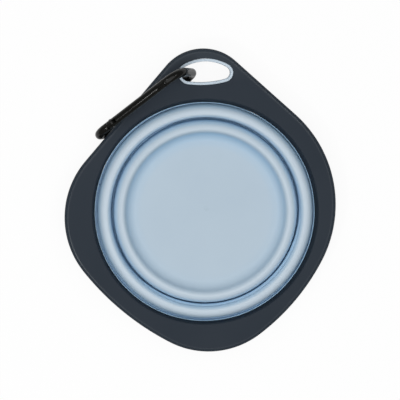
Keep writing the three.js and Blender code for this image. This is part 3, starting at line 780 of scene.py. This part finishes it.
inner_grid = np.concatenate([
    between(raised(middle_row(NEAR, HOLE_TOP, top_inner, top_outer), RIM_TOP), raised(top_inner, RIM_TOP), 9)[:-1],
    np.stack([raised(r * column_way + lip_share(r) * LIP_AT, z) for r, z in collar_section]),
    between(raised(under_inner, UNDER), raised(middle_row(NEAR, HOLE_BOSS, under_inner, under_outer), UNDER), 7)[1:],
])
hole_section = profile(
    arc(HOLE_GAP + HOLE_ROUND, RIM_TOP - HOLE_ROUND, HOLE_ROUND, 90, 180, 18),
    arc(HOLE_GAP + FOOT_ROUND / 2, BOSS_FOOT + FOOT_ROUND / 2, FOOT_ROUND / 2, 180, 270, 30),
    arc(HOLE_BOSS - FOOT_ROUND / 2, BOSS_FOOT + FOOT_ROUND / 2, FOOT_ROUND / 2, 270, 360, 30),
    line((HOLE_BOSS, BOSS_FOOT + FOOT_ROUND / 2), (HOLE_BOSS, UNDER)),
)


def hole_loop(offset):
    """Both sides of the hole as one loop."""
    return np.concatenate([hole_side(FAR, offset), hole_side(NEAR, offset)[-2:0:-1]])


hole_grid = np.stack([raised(hole_loop(offset), z) for offset, z in hole_section])
rim_frame = dress(skin("rim_frame_plastic", outer_grid, inner_grid, hole_grid), slate, "frame_plastic", "rim_frame",
                  body="frame")


# %% How far inside its edge
def inside_rim_values(mesh):
    """How far each point lies inside the outline, in mm: the gap along the ray from the bowl axis, times the cosine
    of the angle at which that ray meets the outline."""
    points = np.empty(3 * len(mesh.vertices))
    mesh.vertices.foreach_get("co", points)
    x, y = points.reshape(-1, 3).T[:2] / MM
    rim_angle, rim_radius = np.arctan2(rim[:, 1], rim[:, 0]), np.hypot(*rim.T)
    order = np.argsort(rim_angle)
    rim_angle, rim_radius = rim_angle[order], rim_radius[order]
    slant = np.gradient(rim_radius, rim_angle) / rim_radius
    straight = 1.0 / np.sqrt(1.0 + slant**2)
    angle = np.arctan2(y, x)
    gap = np.interp(angle, rim_angle, rim_radius, period=2 * np.pi) - np.hypot(x, y)
    return gap * np.interp(angle, rim_angle, straight, period=2 * np.pi)


rim_depth = inside_rim_values(rim_frame.data)
rim_frame.data.attributes.new("inside_rim", "FLOAT", "POINT").data.foreach_set("value", rim_depth.astype(np.float32))
print(f"inside the rim by {rim_depth.min():.2f} to {rim_depth.max():.2f} mm")

# %% [markdown]
# The hanging hole is lined with the same pale rubber, moulded flush with the plate. Its section is carried round the
# outline of the hole by offsets, as the frame's wall is, because the two then keep the same narrow gap all round.

# %% Hole lining
LINING, LINING_ROUND, LINING_STEP = 1.25, 0.4, 0.3
lining_section = profile(
    arc(-LINING_ROUND / 2, BOSS_FOOT + LINING_ROUND / 2, LINING_ROUND / 2, -90, 0, 30),
    arc(-LINING_ROUND, RIM_TOP - LINING_ROUND, LINING_ROUND, 0, 90, 10),
    arc(LINING_ROUND - LINING, RIM_TOP - LINING_ROUND, LINING_ROUND, 90, 180, 10),
    arc(LINING_ROUND / 2 - LINING, BOSS_FOOT + LINING_ROUND / 2, LINING_ROUND / 2, 180, 270, 30),
)
lining_grid = np.stack([raised(outline(HOLE_CORNERS, offset, LINING_STEP), z) for offset, z in lining_section])
# Its tint is the painted highlight all over, as it lies beyond the rubber's ramps.
dress(skin("hole_lining_rubber", lining_grid, wrap_rows=True), rubber, "bowl_rubber", "hole_lining", body="frame")

# %% [markdown]
# ## Black anodised aluminium
# The carabiner is a glossy black rod that mirrors a lamp as a bright streak. A coat over a rougher black could give
# the same streak, but one smooth layer is enough on so dark a metal. Smudges from handling vary its roughness, and
# fine marks its colour. The small pins and the spring are steel, given a dark tint, painted shade, because they sit in
# narrow gaps.

# %% Carabiner finishes
BLACK_TINTS = (0.004, 0.004, 0.0035, 1.0), (0.008, 0.008, 0.007, 1.0)
# Painted shade: the steel is tinted dark for the narrow gaps it sits in.
SHADED_STEEL_TINTS = (0.11, 0.11, 0.115, 1.0), (0.16, 0.16, 0.165, 1.0)

black, start, shader = finish("black_anodised", Specular_IOR_Level=0.22)
marks = noise(start, 900.0, 4.0, 0.65)
smudge = noise(start, 120.0, 2.0).clipped(0.35, 0.7)
plug(shader, Base_Color=marks.mixed(*BLACK_TINTS), Roughness=0.13 + 0.05 * smudge)

steel, start, shader = finish("pin_steel", Metallic=1.0)
marks = noise(start, 2400.0, 3.0)
plug(shader, Base_Color=marks.mixed(*SHADED_STEEL_TINTS), Roughness=0.34 + 0.18 * marks)
print(f"finishes: {black.name} and {steel.name}")

# %% [markdown]
# ## The carabiner
# The rod follows three circles and the straight lines between them, in a plane of its own; the third line is the
# gate. It could be drawn where it lies, but it is easier to draw it flat and then turn it nearly on edge, with its
# back under the plate and its gate above it. All its small pieces are drawn along the gate, whose pin is the zero
# point, and carried to their place by one more matrix.

# %% Place of the carabiner
ROD = 1.95
ROD_CORNERS = [(0.0, 0.0, 5.6, STRAIGHT), (36.0, -9.0, 5.9, STRAIGHT), (34.74, 2.52, 7.0, STRAIGHT)]
CARABINER_AT = (-41.7, 37.15, 3.25)
HEADING, PITCH, ROLL = np.radians([36.5, 12.2, 78.6])
HINGE_END = 1.8


def turn_about(axis, angle):
    """4 x 4 matrix of a turn about X, Y or Z."""
    return np.array(Matrix.Rotation(angle, 4, axis))


def shift_by(x, y, z):
    """4 x 4 matrix of a shift in mm."""
    return np.array(Matrix.Translation((x, y, z)))


def moved(points, matrix):
    """Points carried by a 4 x 4 matrix."""
    return points @ matrix[:3, :3].T + matrix[:3, 3]


rod_parts = stretches(ROD_CORNERS)
gate_begin, gate_end = rod_parts[-1][0], rod_parts[0][0]
gate_way = (gate_begin - gate_end) / np.linalg.norm(gate_begin - gate_end)
hinge_at = HINGE_END + GAP + ROD
nose_at = np.linalg.norm(gate_begin - gate_end) - hinge_at
carabiner_frame = (shift_by(*CARABINER_AT) @ turn_about("Z", HEADING) @ turn_about("Y", -PITCH)
                   @ turn_about("X", ROLL))
gate_frame = (carabiner_frame @ shift_by(gate_end[0], gate_end[1], 0.0)
              @ turn_about("Z", np.arctan2(gate_way[1], gate_way[0])) @ shift_by(hinge_at, 0.0, 0.0))
print(f"gate {nose_at:.2f} mm from its pin to the nose")

# %% [markdown]
# The bent rod could be a bevelled curve. A grid is used, because its ends can then be rounded and closed in the same
# step: the radius of its section goes down to nothing at both ends.

# %% Rod
END_ROUND, ROD_SIDES, ROD_EVERY = 0.25, 40, 4


def rod_line(offset):
    """The rod's line up to where the gate begins, moved sideways by an offset."""
    parts = stretches(ROD_CORNERS, offset)
    return np.concatenate([*parts[:-1], parts[-1][:1]])


def tube(centre, normal, radius, sides=ROD_SIDES):
    """Round section carried along a path in the plane: centre + radius (cos a normal + sin a Z)."""
    angle = np.linspace(0.0, 2 * np.pi, sides, endpoint=False)
    flat = centre[:, None] + radius[:, None, None] * np.cos(angle)[:, None] * normal[:, None]
    return np.concatenate([flat, (radius[:, None] * np.sin(angle))[..., None]], axis=-1)


rod_path = rod_line(0.0)
rod_side = rod_line(1.0) - rod_path
kept = np.r_[np.arange(0, len(rod_path) - 1, ROD_EVERY), len(rod_path) - 1]
end_angle = np.radians(np.linspace(0.0, 90.0, 5))
hinge_path = gate_end + np.outer(HINGE_END - END_ROUND * (1 - np.cos(end_angle)), gate_way)
nose_path = gate_begin - np.outer(END_ROUND * (1 - np.sin(end_angle)), gate_way)
centre = np.concatenate([hinge_path[:1], hinge_path, rod_path[kept], nose_path[1:], nose_path[-1:]])
side = np.concatenate([np.repeat(rod_side[:1], 6, 0), rod_side[kept], np.repeat(rod_side[-1:], 5, 0)])
radius = np.r_[0.0, ROD - END_ROUND + END_ROUND * np.sin(end_angle), np.full(len(kept), ROD),
               ROD - END_ROUND + END_ROUND * np.cos(end_angle[1:]), 0.0]
dress(skin("carabiner_rod", moved(tube(centre, side, radius), carabiner_frame)), black, "carabiner_black",
      "carabiner_body", body="carabiner")

# %% [markdown]
# A flat tab at the hinge end goes into the fork of the gate and carries the pin, and its edge is the cam that the
# spring plunger presses on. A flat hook at the nose goes into the gate's other slot and catches the latch pin. Both
# could be cut out of a plate, but a bevelled rectangle of changing height, carried along the gate, needs no cut.

# %% Hinge tab and nose hook
TAB, TAB_HALF, CAM_LOW, CAM_TOE, TOE_THICK, TAB_ROOT = 1.5, 1.88, 1.9, (2.45, -1.0), 0.25, 1.2
TONGUE, TONGUE_LENGTH, TONGUE_ROOT, LATCH_PIN, LATCH_BACK, SLOT_GAP = 1.5, 3.75, 1.0, 0.55, 2.15, 0.1


def flat_bar(x, low, high, half, bevel=0.12):
    """Bevelled rectangle from low to high, half on each side, carried along x and closed at both ends."""
    across_y = np.stack([low + bevel, high - bevel, high, high, high - bevel, low + bevel, low, low], axis=1)
    up = np.array([half, half, half - bevel, bevel - half, -half, -half, bevel - half, half - bevel])
    body = np.stack([x[:, None] + 0 * up, across_y, up + 0 * across_y], axis=-1)
    caps = [np.repeat(body[k].mean(0)[None], 8, axis=0)[None] for k in (0, -1)]
    return np.concatenate([caps[0], body, caps[1]])


tab_x = np.r_[-ROD - GAP - TAB_ROOT, np.linspace(0.0, CAM_LOW, 24), np.linspace(CAM_LOW, CAM_TOE[0], 6)[1:]]
tab_high = np.where(tab_x <= CAM_LOW, np.minimum(TAB_HALF, np.sqrt(np.maximum(CAM_LOW ** 2 - tab_x ** 2, 0.0))),
                    CAM_TOE[1] * (tab_x - CAM_LOW) / (CAM_TOE[0] - CAM_LOW))
tab_high[0] = TAB_HALF
tab_low = np.interp(tab_x, [CAM_TOE[0] - TOE_THICK, CAM_TOE[0]], [-TAB_HALF, CAM_TOE[1] - TOE_THICK])
tab_high = np.maximum(tab_high, tab_low + TOE_THICK)
hinge_tab = flat_bar(tab_x, tab_low, tab_high, TAB / 2)
dress(skin("hinge_tab", moved(hinge_tab, gate_frame)), black, "carabiner_black", body="carabiner")

latch_at = nose_at - LATCH_BACK
notch = LATCH_PIN + GAP
notch_angle = np.radians(np.linspace(180.0, 0.0, 15))
hook_x = np.r_[nose_at - TONGUE_LENGTH, latch_at - notch, latch_at + notch * np.cos(notch_angle), latch_at + notch,
               nose_at + TONGUE_ROOT]
hook_low = np.r_[-TAB_HALF, -TAB_HALF, GAP / 2 + notch * np.sin(notch_angle), -TAB_HALF, -TAB_HALF]
hook_high = np.full(len(hook_x), TAB_HALF)
nose_hook = flat_bar(hook_x, hook_low, hook_high, TONGUE / 2)
dress(skin("nose_hook", moved(nose_hook, gate_frame)), black, "carabiner_black", body="carabiner")

# %% [markdown]
# The gate is a round bar with a rounded, slotted end at the hinge, a slot for the hook at the nose, and a bore for
# the spring. The bar is a grid. One grid can't have slots, so they and the bore are cut out of it with a Boolean
# modifier, which is then applied.

# %% Gate
SPRING_BORE, SPRING_ROOM, BORE_LAP, CUT_OVER = 0.95, 11.0, 0.1, 1.0


def cut(piece, *cutters):
    """Takes each cutter out of a piece and deletes the cutter."""
    for cutter in cutters:
        change = piece.modifiers.new("cut", "BOOLEAN")
        change.operation, change.object, change.solver = "DIFFERENCE", cutter, "EXACT"
    shape = bpy.data.meshes.new_from_object(piece.evaluated_get(bpy.context.evaluated_depsgraph_get()))
    piece.modifiers.clear()
    piece.data = shape
    shape.name = piece.name
    for cutter in cutters:
        bpy.data.objects.remove(cutter)
    shape.shade_smooth()
    shape.set_sharp_from_angle(angle=np.radians(CREASE))
    print(f"{piece.name}: {len(shape.polygons)} faces after {len(cutters)} cuts")
    return piece


gate_tip = nose_at - GAP
bar_x = np.r_[-ROD * np.cos(np.linspace(0.0, np.pi / 2, 20)), np.linspace(0.0, gate_tip - END_ROUND, 12)[1:],
              gate_tip - END_ROUND * (1 - np.sin(end_angle[1:]))]
bar_r = np.r_[np.full(len(bar_x) - 4, ROD), ROD - END_ROUND + END_ROUND * np.cos(end_angle[1:])]
bar_angle = np.linspace(0.0, 2 * np.pi, ROD_SIDES, endpoint=False)
reach = np.sqrt(np.maximum(ROD ** 2 - np.minimum(bar_x, 0.0) ** 2, 0.0))[:, None]
bar_y = np.clip(bar_r[:, None] * np.cos(bar_angle), -reach, reach)
bar = np.stack([bar_x[:, None] + 0 * bar_y, bar_y, bar_r[:, None] * np.sin(bar_angle)], axis=-1)
bar = np.concatenate([bar, np.repeat(np.array([[[gate_tip, 0.0, 0.0]]]), ROD_SIDES, axis=1)])

slot_deep = np.hypot(*CAM_TOE) + GAP
bore_x = np.r_[0.0, 0.0, SPRING_ROOM, SPRING_ROOM] + slot_deep - BORE_LAP
bore_r = np.r_[0.0, SPRING_BORE, SPRING_BORE, 0.0]
along_x = np.stack([bore_x, 0 * bore_x], axis=1)
bore = np.concatenate([along_x[:, None] + (bore_r[:, None] * np.cos(bar_angle))[..., None] * np.array([0.0, 1.0]),
                       (bore_r[:, None] * np.sin(bar_angle))[..., None]], axis=-1)
wide = np.array([-ROD - CUT_OVER, ROD + CUT_OVER])


def slot_cutter(name, begin, end, half):
    """A block across the bar from begin to end along it."""
    x = np.array([begin, end])
    return skin(name, moved(flat_bar(x, np.full(2, wide[0]), np.full(2, wide[1]), half, 0.0), gate_frame))


gate = cut(
    skin("carabiner_gate_bar", moved(bar, gate_frame)),
    slot_cutter("hinge_slot", wide[0], slot_deep, TAB / 2 + SLOT_GAP),
    slot_cutter("nose_slot", nose_at - TONGUE_LENGTH - SLOT_GAP, nose_at + CUT_OVER, TONGUE / 2 + SLOT_GAP),
    skin("spring_bore", moved(bore, gate_frame)),
)
dress(gate, black, "carabiner_black", "carabiner_gate", body="gate")

# %% [markdown]
# The small steel pieces are the hinge pin with domed ends, the latch pin in the nose slot, and inside the gate the
# plunger. Bevelled cylinders could do, but a profile turned about an axis of the gate has its domes from the start,
# and one function places them all.

# %% Pins and plunger
HINGE_PIN, HINGE_HEAD, HINGE_DOME, LATCH_DOME = 0.75, 0.2, 0.3, 0.1
PLUNGER, PLUNGER_LENGTH, PIN_SIDES = 0.75, 2.9, 28


def round_pin(points, x, along):
    """A profile of (radius, height) turned about an axis of the gate through x: its width, or its length."""
    angle = np.linspace(0.0, 2 * np.pi, PIN_SIDES, endpoint=False)
    r, h = points[:, :1], points[:, 1:]
    a, b, h = r * np.cos(angle), r * np.sin(angle), h + 0 * angle
    place = (x + h, a, b) if along == "length" else (x + a, b, h)
    return moved(np.stack(place, axis=-1), gate_frame)


def pin_profile(r, half, dome):
    """Straight pin with a dome on each end."""
    t = np.radians(np.linspace(0.0, 90.0, 8))
    cap = np.stack([r * np.sin(t), half - dome + dome * np.cos(t)], axis=1)
    return np.concatenate([cap, cap[::-1] * [1, -1]])


hinge_shape = pin_profile(HINGE_PIN, ROD + HINGE_HEAD, HINGE_DOME)
dress(skin("hinge_pin", round_pin(hinge_shape, 0.0, "width")), steel, "pin_steel", "gate_hinge_pin", body="carabiner")
latch_shape = pin_profile(LATCH_PIN, ROD - GAP, LATCH_DOME)
dress(skin("latch_pin", round_pin(latch_shape, latch_at, "width")), steel, "pin_steel", "gate_latch_pin", body="gate")

plunger_tip = CAM_LOW + GAP
plunger_back = plunger_tip + PLUNGER_LENGTH
plunger_shape = profile(arc(0.0, PLUNGER, PLUNGER, -90, 0, 10), line((PLUNGER, PLUNGER_LENGTH), (0.0, PLUNGER_LENGTH)))
dress(skin("spring_plunger", round_pin(plunger_shape, plunger_tip, "length")), steel, "pin_steel", "gate_plunger",
      body="plunger")

# %% [markdown]
# The spring is a thin wire wound in a coil behind the plunger: a small circle carried along a helix, square to it. It
# could be a curve with a Screw modifier, but the grid's closed ends are easier to get right. It rides on no body here,
# so it stays where it is drawn.

# %% Spring
COIL, COIL_WIRE, COIL_TURNS, TURN_STEPS, WIRE_SIDES = 0.68, 0.16, 9, 24, 10

coil_from = plunger_back + GAP + COIL_WIRE
coil_to = slot_deep + SPRING_ROOM - BORE_LAP - GAP - COIL_WIRE
turns = np.linspace(0.0, COIL_TURNS, COIL_TURNS * TURN_STEPS + 1)
angle = 2 * np.pi * turns
outward = np.stack([0 * angle, np.cos(angle), np.sin(angle)], axis=1)
pitch = (coil_to - coil_from) / COIL_TURNS
forward = np.stack([np.full(len(angle), pitch / (2 * np.pi)), -COIL * np.sin(angle), COIL * np.cos(angle)], axis=1)
forward /= np.linalg.norm(forward, axis=1, keepdims=True)
coil_side = np.cross(forward, outward)
coil_centre = COIL * outward + np.stack([coil_from + pitch * turns, 0 * turns, 0 * turns], axis=1)
wire_angle = np.linspace(0.0, 2 * np.pi, WIRE_SIDES, endpoint=False)[:, None]
across = np.cos(wire_angle) * outward[:, None] + np.sin(wire_angle) * coil_side[:, None]
coil = coil_centre[:, None] + COIL_WIRE * across
coil_ends = [np.repeat(coil_centre[k][None, None], WIRE_SIDES, axis=1) for k in (0, -1)]
coil = np.concatenate([coil_ends[0], coil, coil_ends[1]])
spring = dress(skin("gate_coil_spring", moved(coil, gate_frame)), steel, "pin_steel", "gate_spring")
spring_ends = moved(np.array([[coil_from, 0.0, 0.0], [coil_to, 0.0, 0.0]]), gate_frame) * MM
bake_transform(spring)
